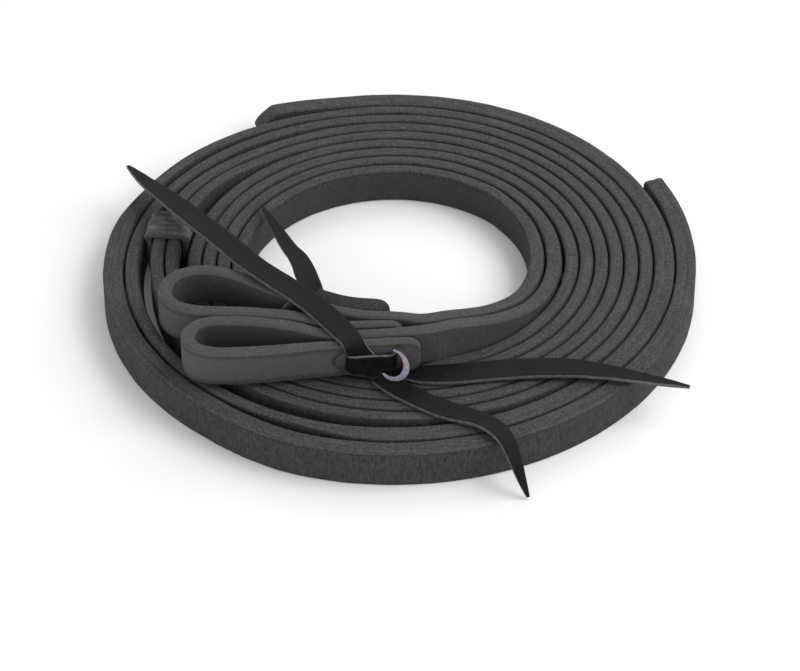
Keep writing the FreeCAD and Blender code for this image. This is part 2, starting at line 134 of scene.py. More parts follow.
def bump(a, centre, before, after):
    """Smooth hill of height 1, with its own reach on each side."""
    if a < centre:
        return ease(1.0 - (centre - a) / before)
    return ease(1.0 - (a - centre) / after)


def inner_radius(a):
    """Radius of the rear rein's inner face: a spiral, opened where the keeper, the gap at the left and
    the loose end need room."""
    r = 46.6 + 10.1 * a / 360.0
    r += 2.7 * bump(a, KEEPER_TURN - 13.0, 45.0, 108.0)
    r += 6.0 * bump(a, 1263.0, 90.0, 162.0)
    r += 4.2 * ease((a - 1540.0) / 22.0)
    return r


def front_radius(a):
    """Radius of the front rein's inner face, lying against the rear rein."""
    gap = CLEAR + 1.3 * bump(a, 1224.0, 40.0, 30.0) + 1.3 * ease((a - 1440.0) / 30.0)
    return inner_radius(a) + THICK + PLY * ease((a - REAR_PLY + 18.0) / 24.0) + gap


def lift(a):
    """Height of the strap's lower edge."""
    if a < 400.0:
        return LOOP_Z * ease((-12.0 - a) / 80.0)
    return 2.2 * ease((44.0 - abs(a - KEEPER_TURN)) / 34.0)


def polar(r, a):
    t = math.radians(a)
    return (r * math.cos(t), r * math.sin(t))


def rein_route(loop, start, radius_of, end_angle):
    """Control points of one rein's centre line (lower edge): x, y, z, thickness, winding angle."""
    rows = []
    for i, (x, y, t) in enumerate(loop):
        rising = x > 0.0 and i > 3
        z = lift(math.degrees(math.atan2(y, x))) if rising else LOOP_Z
        rows.append((x, y, z, t, -100.0))
    for a, r, t in start:
        x, y = polar(r, a)
        rows.append((x, y, lift(a), t, float(a)))
    a = FIRST_SPIRAL
    while a < end_angle - 0.01:
        a = min(a + SPIRAL_STEP, end_angle)
        x, y = polar(radius_of(a) + THICK / 2, a)
        rows.append((x, y, lift(a), THICK, a))
    return rows


def nurbs_line(points, steps):
    """The smooth line with these control points, as Blender's own curve gives it."""
    data = bpy.data.curves.new("route", "CURVE")
    data.dimensions = "3D"
    data.resolution_u = steps
    spline = data.splines.new("NURBS")
    spline.points.add(len(points) - 1)
    for point, co in zip(spline.points, points):
        point.co = (co[0], co[1], co[2], 1.0)
    spline.order_u = 3
    spline.use_endpoint_u = True
    obj = linked("route", data)
    bpy.context.view_layer.update()
    mesh = bpy.data.meshes.new_from_object(obj)
    line = [v.co.copy() for v in mesh.vertices]
    bpy.data.objects.remove(obj)
    bpy.data.curves.remove(data)
    bpy.data.meshes.remove(mesh)
    return line


def tangents(line):
    out = []
    for i in range(len(line)):
        d = line[min(i + 1, len(line) - 1)] - line[max(i - 1, 0)]
        out.append(d.normalized())
    return out


# ---------------------------------------------------------------- mesh helpers
def build_mesh(name, rings, grain, cut, closed=False, sharp=50.0):
    """Tube through rings of points (mm), capped at both ends, or closed on itself. grain is the leather's
    own coordinate of each point, and cut tells the cut edge (1) from the two faces (0 and -1)."""
    n = len(rings[0])
    verts = [tuple(c * MM for c in point) for ring in rings for point in ring]
    faces = []
    for i in range(len(rings) if closed else len(rings) - 1):
        a = i * n
        b = (i + 1) % len(rings) * n
        for k in range(n):
            j = (k + 1) % n
            faces.append((a + k, a + j, b + j, b + k))
    if not closed:
        last = (len(rings) - 1) * n
        faces.append(tuple(range(n - 1, -1, -1)))
        faces.append(tuple(range(last, last + n)))
    mesh = bpy.data.meshes.new(name)
    mesh.from_pydata(verts, [], faces)
    mesh.validate()
    attribute = mesh.attributes.new("grain", "FLOAT_VECTOR", "POINT")
    attribute.data.foreach_set("vector", [c for g in grain for c in g])
    attribute = mesh.attributes.new("cut", "FLOAT", "POINT")
    attribute.data.foreach_set("value", cut)
    mesh.polygons.foreach_set("use_smooth", [True] * len(mesh.polygons))
    mesh.set_sharp_from_angle(angle=math.radians(sharp))
    mesh.update()
    return linked(name, mesh)


def strap_section(t, w, r):
    """Section of a strap from its lower edge round: side offset, height, cut-edge share, and the value
    of cut on the face."""
    hs = t / 2 - r
    rows = []
    for cs, ch, first in ((hs, r, -90.0), (hs, w - r, 0.0), (-hs, w - r, 90.0), (-hs, r, 180.0)):
        for k in range(4):
            a = math.radians(first + 30.0 * k)
            rows.append((cs + r * math.cos(a), ch + r * math.sin(a), abs(math.sin(a)), 0.0))
        if first == -90.0:
            for k in range(1, 5):
                rows.append((t / 2, r + (w - 2 * r) * k / 5, 0.0, 0.0))
        elif first == 0.0:
            rows.append((hs / 3, w, 1.0, 0.0))
            rows.append((-hs / 3, w, 1.0, 0.0))
        elif first == 90.0:
            for k in range(1, 5):
                rows.append((-t / 2, w - r - (w - 2 * r) * k / 5, 0.0, -1.0))
        else:
            rows.append((-hs / 3, 0.0, 1.0, 0.0))
            rows.append((hs / 3, 0.0, 1.0, 0.0))
    return rows


def wander(along, height, seed, size):
    """Small unevenness of the leather along the strap."""
    return noise.noise(Vector((along / size, height / size, seed)))


def refined(line, thick, first, last):
    """Extra stations inside the rounded ends of a strap."""
    runs = [0.0]
    for a, b in zip(line, line[1:]):
        runs.append(runs[-1] + (b - a).length)
    total = runs[-1]
    reach = 1.02  # the extra stations pass the rounded part by this much
    wanted = [0.0, total] + [r for r in runs if first * reach < r < total - last * reach]
    for k in range(12):
        share = (1.0 - math.cos(math.pi / 2 * k / 11)) * reach
        if first:
            wanted.append(first * share)
        if last:
            wanted.append(total - last * share)
    out = []
    i = 0
    for at in sorted(wanted):
        while i < len(runs) - 2 and runs[i + 1] < at:
            i += 1
        share = (at - runs[i]) / (runs[i + 1] - runs[i])
        point = line[i].lerp(line[i + 1], share)
        if not out or (point - out[-1][0]).length > 1e-4:
            out.append((point, thick[i] + (thick[i + 1] - thick[i]) * share, at))
    return out, total


def end_cut(run, radius):
    """How much a rounded end takes off each corner at this distance from the tip."""
    if run >= radius or radius <= 0.0:
        return 0.0
    arc = radius - math.sqrt(max(radius ** 2 - (radius - run) ** 2, 0.0))
    if radius > 5.0:  # a large end is cut more like a bevel
        arc = 0.4 * arc + 0.6 * (radius - run)
    return min(arc, radius * 0.94)


def sag_depth(point, run, sag):
    """How far the lower edge hangs down where the strap comes off its loop. sag is x, reach and depth."""
    x, reach, depth = sag
    if point.z <= 7.0 or run <= LOOP_LEGS:
        return 0.0
    return depth * ease(1.0 - abs(point.x - x) / reach)


def foot_shift(point, run, lean):
    """How far the lower edge of the outer turn slides into the wide gap at the left."""
    if point.x >= -20.0 or run <= 1000.0 or not 80.0 < math.hypot(point.x, point.y) < 91.0:
        return 0.0
    angle = math.degrees(math.atan2(point.y, point.x)) % 360.0
    return -lean * ease(1.0 - abs(angle - 208.0) / 48.0)


def strap_mesh(name, line, thick, seed, offset=0.0, first_end=0.0, last_end=0.0, start_along=0.0,
               taper=0.0, corner=1.0, sag=(0.0, 1.0, 0.0), lean=0.0):
    """Strap on edge along a line. offset moves its middle outwards from the line, first_end and last_end
    are the radii of its rounded ends, and taper is the length over which it is skived thin."""
    stations, total = refined(line, thick, first_end, last_end)
    dirs = tangents([row[0] for row in stations])
    rings = []
    grain = []
    cut = []
    for (p, t, run), d in zip(stations, dirs):
        along = start_along + run
        side = Vector((d.y, -d.x, 0.0)).normalized()
        shift = offset
        if taper:
            full = t
            t = t * (0.12 + 0.88 * ease(run / taper))
            shift = offset - (full - t) / 2
        drop = sag_depth(p, run, sag)
        foot = foot_shift(p, run, lean)
        shrink = max(end_cut(run, first_end), end_cut(total - run, last_end))
        soft = ease(min(run, total - run) / 1.2)
        ring = []
        for s, h, edge, face in strap_section(t, WIDTH, min(corner, t * 0.4)):
            top = 1.0 if h > 6.0 else 0.0
            h2 = h + top * (0.16 * wander(along, 9.0, seed, 17.0) + 0.05 * wander(along, s, seed + 3.0, 2.4))
            s2 = s + 0.12 * wander(along, h, seed + (5.0 if s > 0 else 9.0), 7.0)
            s2 *= 0.92 + 0.08 * soft
            h2 = shrink + h2 * (WIDTH - 2 * shrink) / WIDTH - drop * max(0.0, 1.0 - h / 5.0)
            h2 += top * 0.16 * (1.0 - (2.0 * s / t) ** 2)
            q = p + side * (s2 + shift + foot * (1.0 - h / WIDTH))
            ring.append((q.x, q.y, q.z + h2))
            grain.append((along, h, s + seed * 20.0))
            cut.append(edge if edge > 0.5 or s > 0 else edge + face * (1.0 - edge))
        rings.append(ring)
    return build_mesh(name, rings, grain, cut)


def punch(obj, holes):
    """Punched holes through the legs of a bit loop: x, y, length along y."""
    n = 28
    for x, y, length in holes:
        mesh = bpy.data.meshes.new("punch")
        verts = []
        for side in (-1, 1):
            for k in range(n):
                a = 2 * math.pi * k / n
                verts.append(((x + HOLE_RADIUS * math.cos(a)) * MM, (y + side * length / 2) * MM,
                              (HOLE_Z + HOLE_RADIUS * math.sin(a)) * MM))
        faces = [(k, (k + 1) % n, n + (k + 1) % n, n + k) for k in range(n)]
        faces.append(tuple(range(n - 1, -1, -1)))
        faces.append(tuple(range(n, 2 * n)))
        mesh.from_pydata(verts, [], faces)
        tool = linked("punch", mesh)
        modifier = obj.modifiers.new("punch", "BOOLEAN")
        modifier.operation = "DIFFERENCE"
        modifier.solver = "EXACT"
        modifier.object = tool
        bpy.context.view_layer.update()
        evaluated = obj.evaluated_get(bpy.context.evaluated_depsgraph_get())
        cut_mesh = bpy.data.meshes.new_from_object(evaluated)
        old = obj.data
        obj.modifiers.clear()
        obj.data = cut_mesh
        bpy.data.meshes.remove(old)
        bpy.data.objects.remove(tool)
        bpy.data.meshes.remove(mesh)


# ---------------------------------------------------------------- materials
class Nodes:
    """Short way to wire a material's nodes."""

    def __init__(self, name):
        self.material = bpy.data.materials.new(name)
        self.material.use_nodes = True
        self.tree = self.material.node_tree
        self.shader = self.tree.nodes["Principled BSDF"]

    def add(self, kind, **settings):
        node = self.tree.nodes.new(kind)
        for key, value in settings.items():
            setattr(node, key, value)
        return node

    def link(self, source, target):
        self.tree.links.new(source, target)

    def put(self, socket, value):
        """Link the socket if the value is an output, or else set it."""
        if hasattr(value, "is_output"):
            self.tree.links.new(value, socket)
        else:
            socket.default_value = value

    def attributes(self):
        """The two attributes of every leather mesh, grain and cut."""
        grain = self.add("ShaderNodeAttribute", attribute_name="grain")
        cut = self.add("ShaderNodeAttribute", attribute_name="cut")
        return grain.outputs["Vector"], cut.outputs["Fac"]

    def scaled(self, vector, x, y, z):
        node = self.add("ShaderNodeMapping")
        node.inputs["Scale"].default_value = (x, y, z)
        self.link(vector, node.inputs["Vector"])
        return node.outputs["Vector"]

    def noise(self, vector, scale, detail=3.0, rough=0.6, distort=0.0):
        node = self.add("ShaderNodeTexNoise")
        node.inputs["Scale"].default_value = scale
        node.inputs["Detail"].default_value = detail
        node.inputs["Roughness"].default_value = rough
        node.inputs["Distortion"].default_value = distort
        self.link(vector, node.inputs["Vector"])
        return node.outputs["Fac"]

    def voronoi(self, vector, scale):
        node = self.add("ShaderNodeTexVoronoi")
        node.inputs["Scale"].default_value = scale
        self.link(vector, node.inputs["Vector"])
        return node.outputs["Distance"]

    def math(self, operation, a, b):
        node = self.add("ShaderNodeMath", operation=operation)
        self.put(node.inputs[0], a)
        self.put(node.inputs[1], b)
        return node.outputs[0]

    def span(self, value, low, high, to_low=0.0, to_high=1.0):
        node = self.add("ShaderNodeMapRange")
        node.inputs["From Min"].default_value = low
        node.inputs["From Max"].default_value = high
        node.inputs["To Min"].default_value = to_low
        node.inputs["To Max"].default_value = to_high
        self.link(value, node.inputs["Value"])
        return node.outputs["Result"]

    def mix(self, factor, a, b):
        node = self.add("ShaderNodeMix", data_type="RGBA")
        self.put(node.inputs["Factor"], factor)
        self.put(node.inputs[6], a)
        self.put(node.inputs[7], b)
        return node.outputs[2]

    def bump(self, height, strength, distance, normal=None):
        node = self.add("ShaderNodeBump")
        node.inputs["Strength"].default_value = strength
        node.inputs["Distance"].default_value = distance
        self.link(height, node.inputs["Height"])
        if normal is not None:
            self.link(normal, node.inputs["Normal"])
        return node.outputs["Normal"]


def grey(v):
    return (v, v, v, 1.0)


def tinted(v):
    """Grey with the faint warm tint of the cut edges."""
    return (v * 1.04, v * 0.975, v * 1.02, 1.0)


def strap_leather():
    """Harness leather: cut is 1 on the cut edges, 0 on the outer face and -1 on the inner face."""
    m = Nodes("strap_leather")
    grain, cut = m.attributes()
    edge = m.span(cut, 0.3, 0.8)
    hair = m.span(cut, -0.2, -0.8)
    # the handled loops are rubbed smoother and paler than the rest of the rein
    along = m.add("ShaderNodeSeparateXYZ")
    m.link(grain, along.inputs["Vector"])
    handled = m.span(along.outputs["X"], HANDLED_FROM, HANDLED_TO)
    fibres = m.noise(m.scaled(grain, 1.0, 0.25, 0.35), 1.5, 5.0, 0.75, 0.4)
    cloud = m.noise(m.scaled(grain, 1.0, 0.8, 0.05), 0.085, 4.0, 0.6)
    streaks = m.noise(m.scaled(grain, 0.06, 0.7, 1.0), 0.9, 4.0, 0.7)
    mottle = m.noise(grain, 0.42, 5.0, 0.72, 0.5)
    fuzz = m.noise(m.scaled(grain, 0.85, 1.0, 1.0), 1.35, 6.0, 0.9)
    fine = m.noise(grain, 3.6, 3.0, 0.8)
    # the outer face of the coil is the rough flesh side, with upright fibres
    rough = m.mix(m.span(fibres, 0.38, 0.6), grey(0.015), grey(0.060))
    rough = m.mix(m.span(mottle, 0.44, 0.64, 0.0, 0.35), rough, grey(0.066))
    rough = m.mix(m.span(cloud, 0.4, 0.65, 0.0, 0.35), rough, grey(0.026))
    rough = m.mix(m.math("MULTIPLY", handled, 0.45), rough, grey(0.082))
    # the inner face is the smooth hair side, which the fold turns outwards on the bit loops
    smooth = m.mix(handled, grey(0.043), grey(0.108))
    smooth = m.mix(m.span(fuzz, 0.42, 0.58, 0.0, 0.6), smooth, m.mix(handled, grey(0.022), grey(0.058)))
    smooth = m.mix(m.span(cloud, 0.42, 0.6, 0.0, 0.45), smooth, m.mix(handled, grey(0.05), grey(0.088)))
    face = m.mix(hair, rough, smooth)
    # the cut edges: fuzzy, with lengthwise streaks
    top = m.mix(m.span(fuzz, 0.42, 0.58), tinted(0.014), tinted(0.112))
    top = m.mix(m.span(streaks, 0.48, 0.62, 0.0, 0.45), top, tinted(0.105))
    top = m.mix(m.span(streaks, 0.48, 0.34, 0.0, 0.45), top, grey(0.036))
    top = m.mix(m.span(mottle, 0.45, 0.62, 0.0, 0.35), top, grey(0.040))
    top = m.mix(m.math("MULTIPLY", handled, 0.35), top, grey(0.105))
    # painted shade darkens the rounded corners along the coil (grey 0.020); on the loops the corners are
    # rubbed pale (grey 0.12)
    corner = m.math("MULTIPLY", m.span(cut, 0.05, 0.4), m.span(cut, 0.95, 0.6))
    colour = m.mix(edge, face, top)
    colour = m.mix(m.math("MULTIPLY", corner, 0.5), colour, m.mix(handled, grey(0.020), grey(0.12)))
    colour = m.mix(m.span(fine, 0.54, 0.66, 0.0, 0.5), colour, grey(0.15))
    m.link(colour, m.shader.inputs["Base Color"])
    m.link(m.span(fuzz, 0.3, 0.7, 0.66, 0.92), m.shader.inputs["Roughness"])
    m.shader.inputs["Specular IOR Level"].default_value = 0.14
    m.shader.inputs["Sheen Weight"].default_value = 0.04
    m.shader.inputs["Sheen Roughness"].default_value = 0.5
    base = m.bump(fuzz, 0.9, 0.0005)
    streak = m.bump(fibres, 0.7, 0.0003, base)
    m.link(m.bump(fine, 0.6, 0.00015, streak), m.shader.inputs["Normal"])
    return m.material


def lace_leather(name, pale_low, pale_high):
    """Latigo lace: a smooth dark face, a rougher back, and cut edges between the two pale colours."""
    m = Nodes(name)
    grain, cut = m.attributes()
    edge = m.span(cut, 0.6, 0.9)
    flesh = m.span(cut, -0.3, -0.8)
    pores = m.voronoi(m.scaled(grain, 1.0, 1.0, 0.3), 1.9)
    soft = m.noise(grain, 0.35, 4.0, 0.55, 0.3)
    fuzz = m.noise(m.scaled(grain, 0.6, 1.4, 1.0), 1.6, 5.0, 0.78)
    face = m.mix(m.span(soft, 0.35, 0.65), grey(0.0055), grey(0.0105))
    back = m.mix(m.span(fuzz, 0.38, 0.62), grey(0.022), grey(0.060))
    pale = m.mix(m.span(fuzz, 0.36, 0.64), pale_low, pale_high)
    colour = m.mix(flesh, face, back)
    colour = m.mix(edge, colour, pale)
    m.link(colour, m.shader.inputs["Base Color"])
    m.link(m.mix(m.math("MAXIMUM", edge, flesh), m.span(soft, 0.3, 0.7, 0.5, 0.62), grey(0.85)),
           m.shader.inputs["Roughness"])
    m.shader.inputs["Specular IOR Level"].default_value = 0.1
    skin = m.bump(m.span(pores, 0.0, 0.5), 0.25, 0.00006)
    m.link(m.bump(fuzz, 0.35, 0.0001, skin), m.shader.inputs["Normal"])
    return m.material


def keeper_leather():
    """Soft chrome leather, worn at its cut edges."""
    m = Nodes("keeper_leather")
    grain, cut = m.attributes()
    edge = m.span(cut, 0.45, 0.85)
    fuzz = m.noise(grain, 2.0, 4.0, 0.65)
    soft = m.noise(grain, 0.4, 3.0, 0.5)
    face = m.mix(m.span(soft, 0.38, 0.62), grey(0.060), grey(0.118))
    worn = m.mix(m.span(fuzz, 0.38, 0.62), grey(0.03), grey(0.085))
    m.link(m.mix(edge, face, worn), m.shader.inputs["Base Color"])
    m.link(m.span(fuzz, 0.3, 0.7, 0.5, 0.72), m.shader.inputs["Roughness"])
    m.shader.inputs["Specular IOR Level"].default_value = 0.3
    m.link(m.bump(fuzz, 0.35, 0.0001), m.shader.inputs["Normal"])
    return m.material


STRAP_LEATHER = strap_leather()
LACE_LEATHER = lace_leather("lace_leather", grey(0.05), grey(0.17))
LACE_CORE = lace_leather("lace_core", (0.22, 0.20, 0.24, 1.0), (0.50, 0.46, 0.54, 1.0))
KEEPER_LEATHER = keeper_leather()


def dress(obj, material, node):
    """Material and replaced node of a piece. node is None where it has none."""
    obj.data.materials.clear()
    obj.data.materials.append(material)
    if node:
        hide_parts(node)


def finish_piece(obj, material, body, node=None):
    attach(obj, body)
    dress(obj, material, node)


# ---------------------------------------------------------------- the reins
TONGUE_END = 4.2  # radius of the tongue's rounded tip
FRONT_TAIL_END = 1.2
REAR_TAIL_END = 6.2


def make_rein(name, node, route, seed, last_end, sag, lean, holes):
    """One rein from tongue tip to tail end. Gives its smooth line, and thickness and angle along it."""
    steps = 5
    line = nurbs_line([row[:3] for row in route], steps)
    facts = nurbs_line([(row[3], row[4], 0.0) for row in route], steps)
    obj = strap_mesh(name, line, [f.x for f in facts], seed, first_end=TONGUE_END, last_end=last_end,
                     sag=sag, lean=lean)
    punch(obj, holes)
    finish_piece(obj, STRAP_LEATHER, "coil", node)
    return line, facts


front_route = rein_route(FRONT_LOOP, FRONT_START, front_radius, FRONT_END)
rear_route = rein_route(REAR_LOOP, REAR_START, inner_radius, REAR_END)
front_line, front_facts = make_rein(
    "front_rein", "rein_front_strap", front_route, seed=1.0, last_end=FRONT_TAIL_END,
    sag=(15.0, 14.0, 1.6), lean=0.0, holes=[(-17.5, -60.3, 11.0), (-0.6, -59.5, 11.0)])
rear_line, rear_facts = make_rein(
    "rear_rein", "rein_rear_strap", rear_route, seed=2.0, last_end=REAR_TAIL_END,
    sag=(15.0, 14.0, 1.0), lean=3.4, holes=[(-17.8, -49.5, 14.0), (-4.5, -49.5, 11.0)])


def make_ply(name, node, line, facts, first, seed, last_end):
    """Second layer on the outer face of the last stretch, skived thin where it starts. It goes a little
    way into the strap, as it is glued on and no light comes through the seam."""
    sunk = 0.9
    points = [p for p, f in zip(line, facts) if f.y >= first]
    obj = strap_mesh(name, points, [PLY + sunk] * len(points), seed,
                     offset=THICK / 2 + PLY / 2 - sunk / 2, start_along=400.0 * seed, taper=32.0,
                     last_end=last_end, corner=0.55)
    finish_piece(obj, STRAP_LEATHER, "coil", node)


make_ply("front_end_ply", "rein_front_end_ply", front_line, front_facts, FRONT_PLY, 3.0, FRONT_TAIL_END)
make_ply("rear_end_ply", "rein_rear_end_ply", rear_line, rear_facts, REAR_PLY, 4.0, REAR_TAIL_END)


# ---------------------------------------------------------------- laces
def lace_mesh(name, rows, seed, thickness=1.5, flip=False, cup=0.25):
    """Flat lace along control rows: x, y, z, width, direction across. flip turns its smooth face over,
    and cup is the height of its cupped edges."""
    steps = 8
    line = nurbs_line([row[:3] for row in rows], steps)
    across = nurbs_line([row[4] for row in rows], steps)
    widths = nurbs_line([(row[3], 0.0, 0.0) for row in rows], steps)
    dirs = tangents(line)
    rings = []
    grain = []
    cut = []
    along = 0.0
    for i, (p, d) in enumerate(zip(line, dirs)):
        if i:
            along += (p - line[i - 1]).length
        w = across[i] - d * across[i].dot(d)
        w.normalize()
        n = w.cross(d).normalized()
        if flip:
            n = -n
        width = widths[i].x * (1.0 + 0.03 * wander(along, 0.0, seed, 9.0))
        half = width / 2
        t = min(thickness, width * 0.7)
        r = min(0.32, t * 0.3)
        section = []
        for cs, ch, first in ((half - r, r - t / 2, -90.0), (half - r, t / 2 - r, 0.0),
                              (r - half, t / 2 - r, 90.0), (r - half, r - t / 2, 180.0)):
            for k in range(3):
                a = math.radians(first + 45.0 * k)
                section.append((cs + r * math.cos(a), ch + r * math.sin(a), abs(math.cos(a)),
                                ch + r * math.sin(a)))
            if first == 0.0:
                for k in range(1, 6):
                    section.append(((half - r) * (1 - k / 3), t / 2, 0.0, t / 2))
            elif first == 180.0:
                for k in range(1, 6):
                    section.append(((half - r) * (k / 3 - 1), -t / 2, 0.0, -t / 2))
        ring = []
        for s, h, edge, level in section:  # level is above 0 on the smooth face
            u = s / max(half, 0.1)
            lean = cup * (u * u) * (width / 9.0) + 0.10 * wander(along, s, seed + 3.0, 7.0)
            q = p + w * s + n * (h + lean)
            ring.append(tuple(q))
            grain.append((along, s, seed * 30.0 + h))
            cut.append(edge if edge > 0.5 else (edge if level > 0 else edge - (1.0 - edge)))
        rings.append(ring)
    return build_mesh(name, rings, grain, cut)


TAIL_LONG = [
    (-9.2, -64.5, 20.0, 7.0, (1, 0.1, 0)), (-10.2, -64.6, 21.6, 7.0, (1, 0.1, 0)),
    (-12.4, -64.8, 25.0, 7.0, (1, 0.1, 0)), (-13.6, -65.0, 27.1, 7.0, (1, 0.15, 0)),
    (-14.3, -64.9, 28.3, 7.1, (0.95, 0.4, 0)), (-15.0, -63.4, 28.75, 7.3, (0.87, 0.49, 0)),
    (-16.6, -60.8, 28.65, 7.8, (0.86, 0.5, 0)), (-20.3, -55.0, 28.6, 8.4, (0.84, 0.54, 0)),
    (-25.5, -47.6, 28.6, 8.8, (0.82, 0.6, -0.04)), (-32.0, -40.2, 28.65, 8.8, (0.8, 0.62, -0.08)),
    (-40.9, -31.6, 28.75, 8.8, (0.75, 0.66, -0.08)), (-49.6, -22.8, 28.7, 8.8, (0.72, 0.7, -0.1)),
    (-57.8, -10.0, 27.4, 8.8, (0.78, 0.62, -0.1)), (-66.8, 3.1, 25.2, 8.8, (0.8, 0.6, -0.1)),
    (-76.5, 18.0, 22.6, 8.0, (0.82, 0.56, -0.1)), (-85.6, 31.9, 19.6, 5.8, (0.84, 0.54, -0.1)),
    (-91.0, 41.5, 17.4, 3.2, (0.86, 0.5, -0.1)), (-94.4, 48.0, 15.8, 1.2, (0.87, 0.5, -0.1)),
]
TAIL_SHORT = [
    (-9.0, -64.4, 19.9, 7.0, (1, 0.1, 0)), (-8.0, -64.3, 18.4, 7.0, (1, 0.1, 0)),
    (-6.4, -64.2, 16.2, 7.0, (1, 0.1, 0)), (-5.4, -64.6, 14.8, 7.0, (0.95, 0.3, 0)),
    (-4.4, -66.0, 14.0, 7.1, (0.87, 0.4, 0)), (-2.2, -68.2, 13.85, 7.6, (0.75, 0.65, 0)),
    (2.0, -71.6, 13.8, 8.0, (0.6, 0.8, 0)), (10.3, -77.8, 13.8, 8.0, (0.5, 0.85, 0)),
    (18.0, -82.0, 13.9, 7.8, (0.5, 0.85, 0)), (26.2, -85.6, 14.3, 7.4, (0.6, 0.8, -0.1)),
    (31.2, -90.2, 14.7, 6.6, (0.85, 0.55, -0.1)), (34.6, -96.0, 14.7, 5.6, (0.95, 0.35, 0)),
    (36.6, -101.2, 13.0, 4.6, (0.95, 0.3, 0)), (38.4, -104.6, 8.4, 3.4, (0.95, 0.3, 0)),
    (39.9, -106.2, 4.2, 2.2, (0.95, 0.3, 0)), (41.2, -107.4, 0.9, 1.1, (0.95, 0.3, 0)),
]
TAIL_RIGHT = [
    (-4.6, -54.65, 19.6, 2.6, (1, 0, 0)), (-4.6, -54.65, 16.2, 2.6, (1, 0, 0)),
    (-4.4, -54.75, 14.4, 3.4, (1, 0.1, 0)), (-3.8, -56.0, 13.75, 5.0, (1, -0.3, 0)),
    (0.4, -59.6, 13.75, 7.0, (0.8, 0.6, 0)), (4.6, -62.4, 13.75, 7.6, (0.45, 0.9, 0)),
    (8.4, -63.1, 13.75, 8.3, (0.1, 1, 0)), (12.0, -63.1, 13.8, 8.8, (-0.02, 1, 0)),
    (19.0, -62.9, 13.9, 9.0, (-0.05, 1, 0)), (28.0, -61.9, 14.2, 9.0, (-0.08, 1, 0)),
    (38.0, -61.0, 14.6, 9.0, (-0.05, 1, 0)), (52.6, -61.0, 15.2, 8.8, (0.05, 1, 0)),
    (62.0, -62.2, 15.3, 7.6, (0.15, 1, 0)), (72.0, -64.0, 15.0, 6.0, (0.2, 1, 0)),
    (83.0, -66.7, 14.6, 3.6, (0.22, 1, 0)), (94.2, -69.4, 14.2, 1.2, (0.22, 1, 0)),
]
TOP_STRAND = [
    (-4.5, -45.2, 18.2, 2.8, (1, 0, 0)), (-4.5, -45.0, 20.6, 3.0, (1, 0.05, 0)),
    (-4.3, -44.4, 23.8, 3.6, (0.95, 0.35, 0.2)), (-4.6, -43.6, 26.4, 4.3, (0.5, 0.8, 0.3)),
    (-7.0, -43.4, 27.2, 4.6, (0.15, 0.94, 0.33)), (-11.0, -43.1, 27.0, 4.8, (0.12, 0.94, 0.33)),
    (-16.0, -42.0, 26.7, 5.0, (0.12, 0.94, 0.33)), (-22.0, -39.4, 26.2, 5.0, (0.12, 0.94, 0.33)),
    (-26.9, -36.0, 25.6, 4.8, (0.12, 0.94, 0.33)),
]
TAIL_INNER = [
    (-27.0, -36.2, 25.5, 5.6, (0.9, 0.42, 0)), (-27.9, -32.9, 25.5, 6.6, (0.95, 0.3, 0)),
    (-29.0, -29.6, 25.2, 7.0, (1, 0.2, 0)), (-30.2, -25.0, 24.4, 7.2, (1, 0.1, 0.05)),
    (-31.8, -17.0, 22.7, 7.0, (1, 0.1, 0)), (-33.6, -10.0, 20.9, 6.2, (1, 0.25, 0)),
    (-36.4, -3.6, 19.2, 5.2, (1, 0.35, 0)), (-39.4, 5.5, 17.4, 4.4, (1, 0.35, 0)),
    (-42.6, 14.6, 16.0, 3.4, (1, 0.4, 0)), (-46.9, 26.2, 14.6, 1.1, (1, 0.4, 0)),
]
BRIDGE = [
    (-16.2, -56.1, 21.4, 4.6, (0, 0, 1)), (-16.3, -59.0, 21.4, 4.6, (0, 0, 1)),
    (-16.3, -62.5, 21.2, 4.8, (0, 0, 1)), (-16.1, -65.6, 21.1, 6.2, (0, 0, 1)),
    (-14.4, -66.6, 21.1, 7.0, (0.02, 0, 1)), (-12.0, -66.2, 21.1, 7.0, (0.02, 0, 1)),
    (-8.0, -65.8, 21.0, 7.0, (0, 0, 1)), (-4.4, -65.5, 20.9, 6.8, (0, 0, 1)),
    (-1.8, -64.9, 20.9, 6.2, (0, 0, 1)), (-0.7, -62.8, 20.9, 5.0, (0, 0, 1)),
    (-0.6, -59.4, 21.1, 4.6, (0, 0, 1)), (-0.6, -55.0, 21.3, 4.6, (0, 0, 1)),
]


def make_tail(name, rows, seed, flip, body, start, end):
    """Free tail of a lace, which bends at its tie between start and end."""
    obj = lace_mesh(name, rows, seed, flip=flip)
    dress(obj, LACE_LEATHER, "lace_" + body)
    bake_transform(obj, "coil", body, start=tuple(Vector(start) * MM), end=tuple(Vector(end) * MM))


make_tail("front_lace_long", TAIL_LONG, 1.0, False, "front_tail_long",
          start=(-14.3, -64.7, 28.3), end=(-18.2, -58.2, 28.6))
make_tail("front_lace_short", TAIL_SHORT, 2.0, True, "front_tail_short",
          start=(-5.2, -65.0, 14.2), end=(-1.6, -68.8, 13.9))
make_tail("rear_lace_long", TAIL_RIGHT, 3.0, True, "rear_tail_long",
          start=(9.0, -63.1, 13.8), end=(14.0, -63.1, 13.8))
make_tail("rear_lace_short", TAIL_INNER, 4.0, False, "rear_tail_short",
          start=(-27.2, -35.4, 25.5), end=(-29.0, -29.8, 25.2))
strand = lace_mesh("rear_lace_top", TOP_STRAND, 5.0, flip=True)
finish_piece(strand, LACE_LEATHER, "coil", "lace_rear_tie")
bridge = lace_mesh("front_lace_bridge", BRIDGE, 6.0, thickness=1.3, cup=0.35, flip=True)
finish_piece(bridge, LACE_LEATHER, "coil", "lace_front_tie")


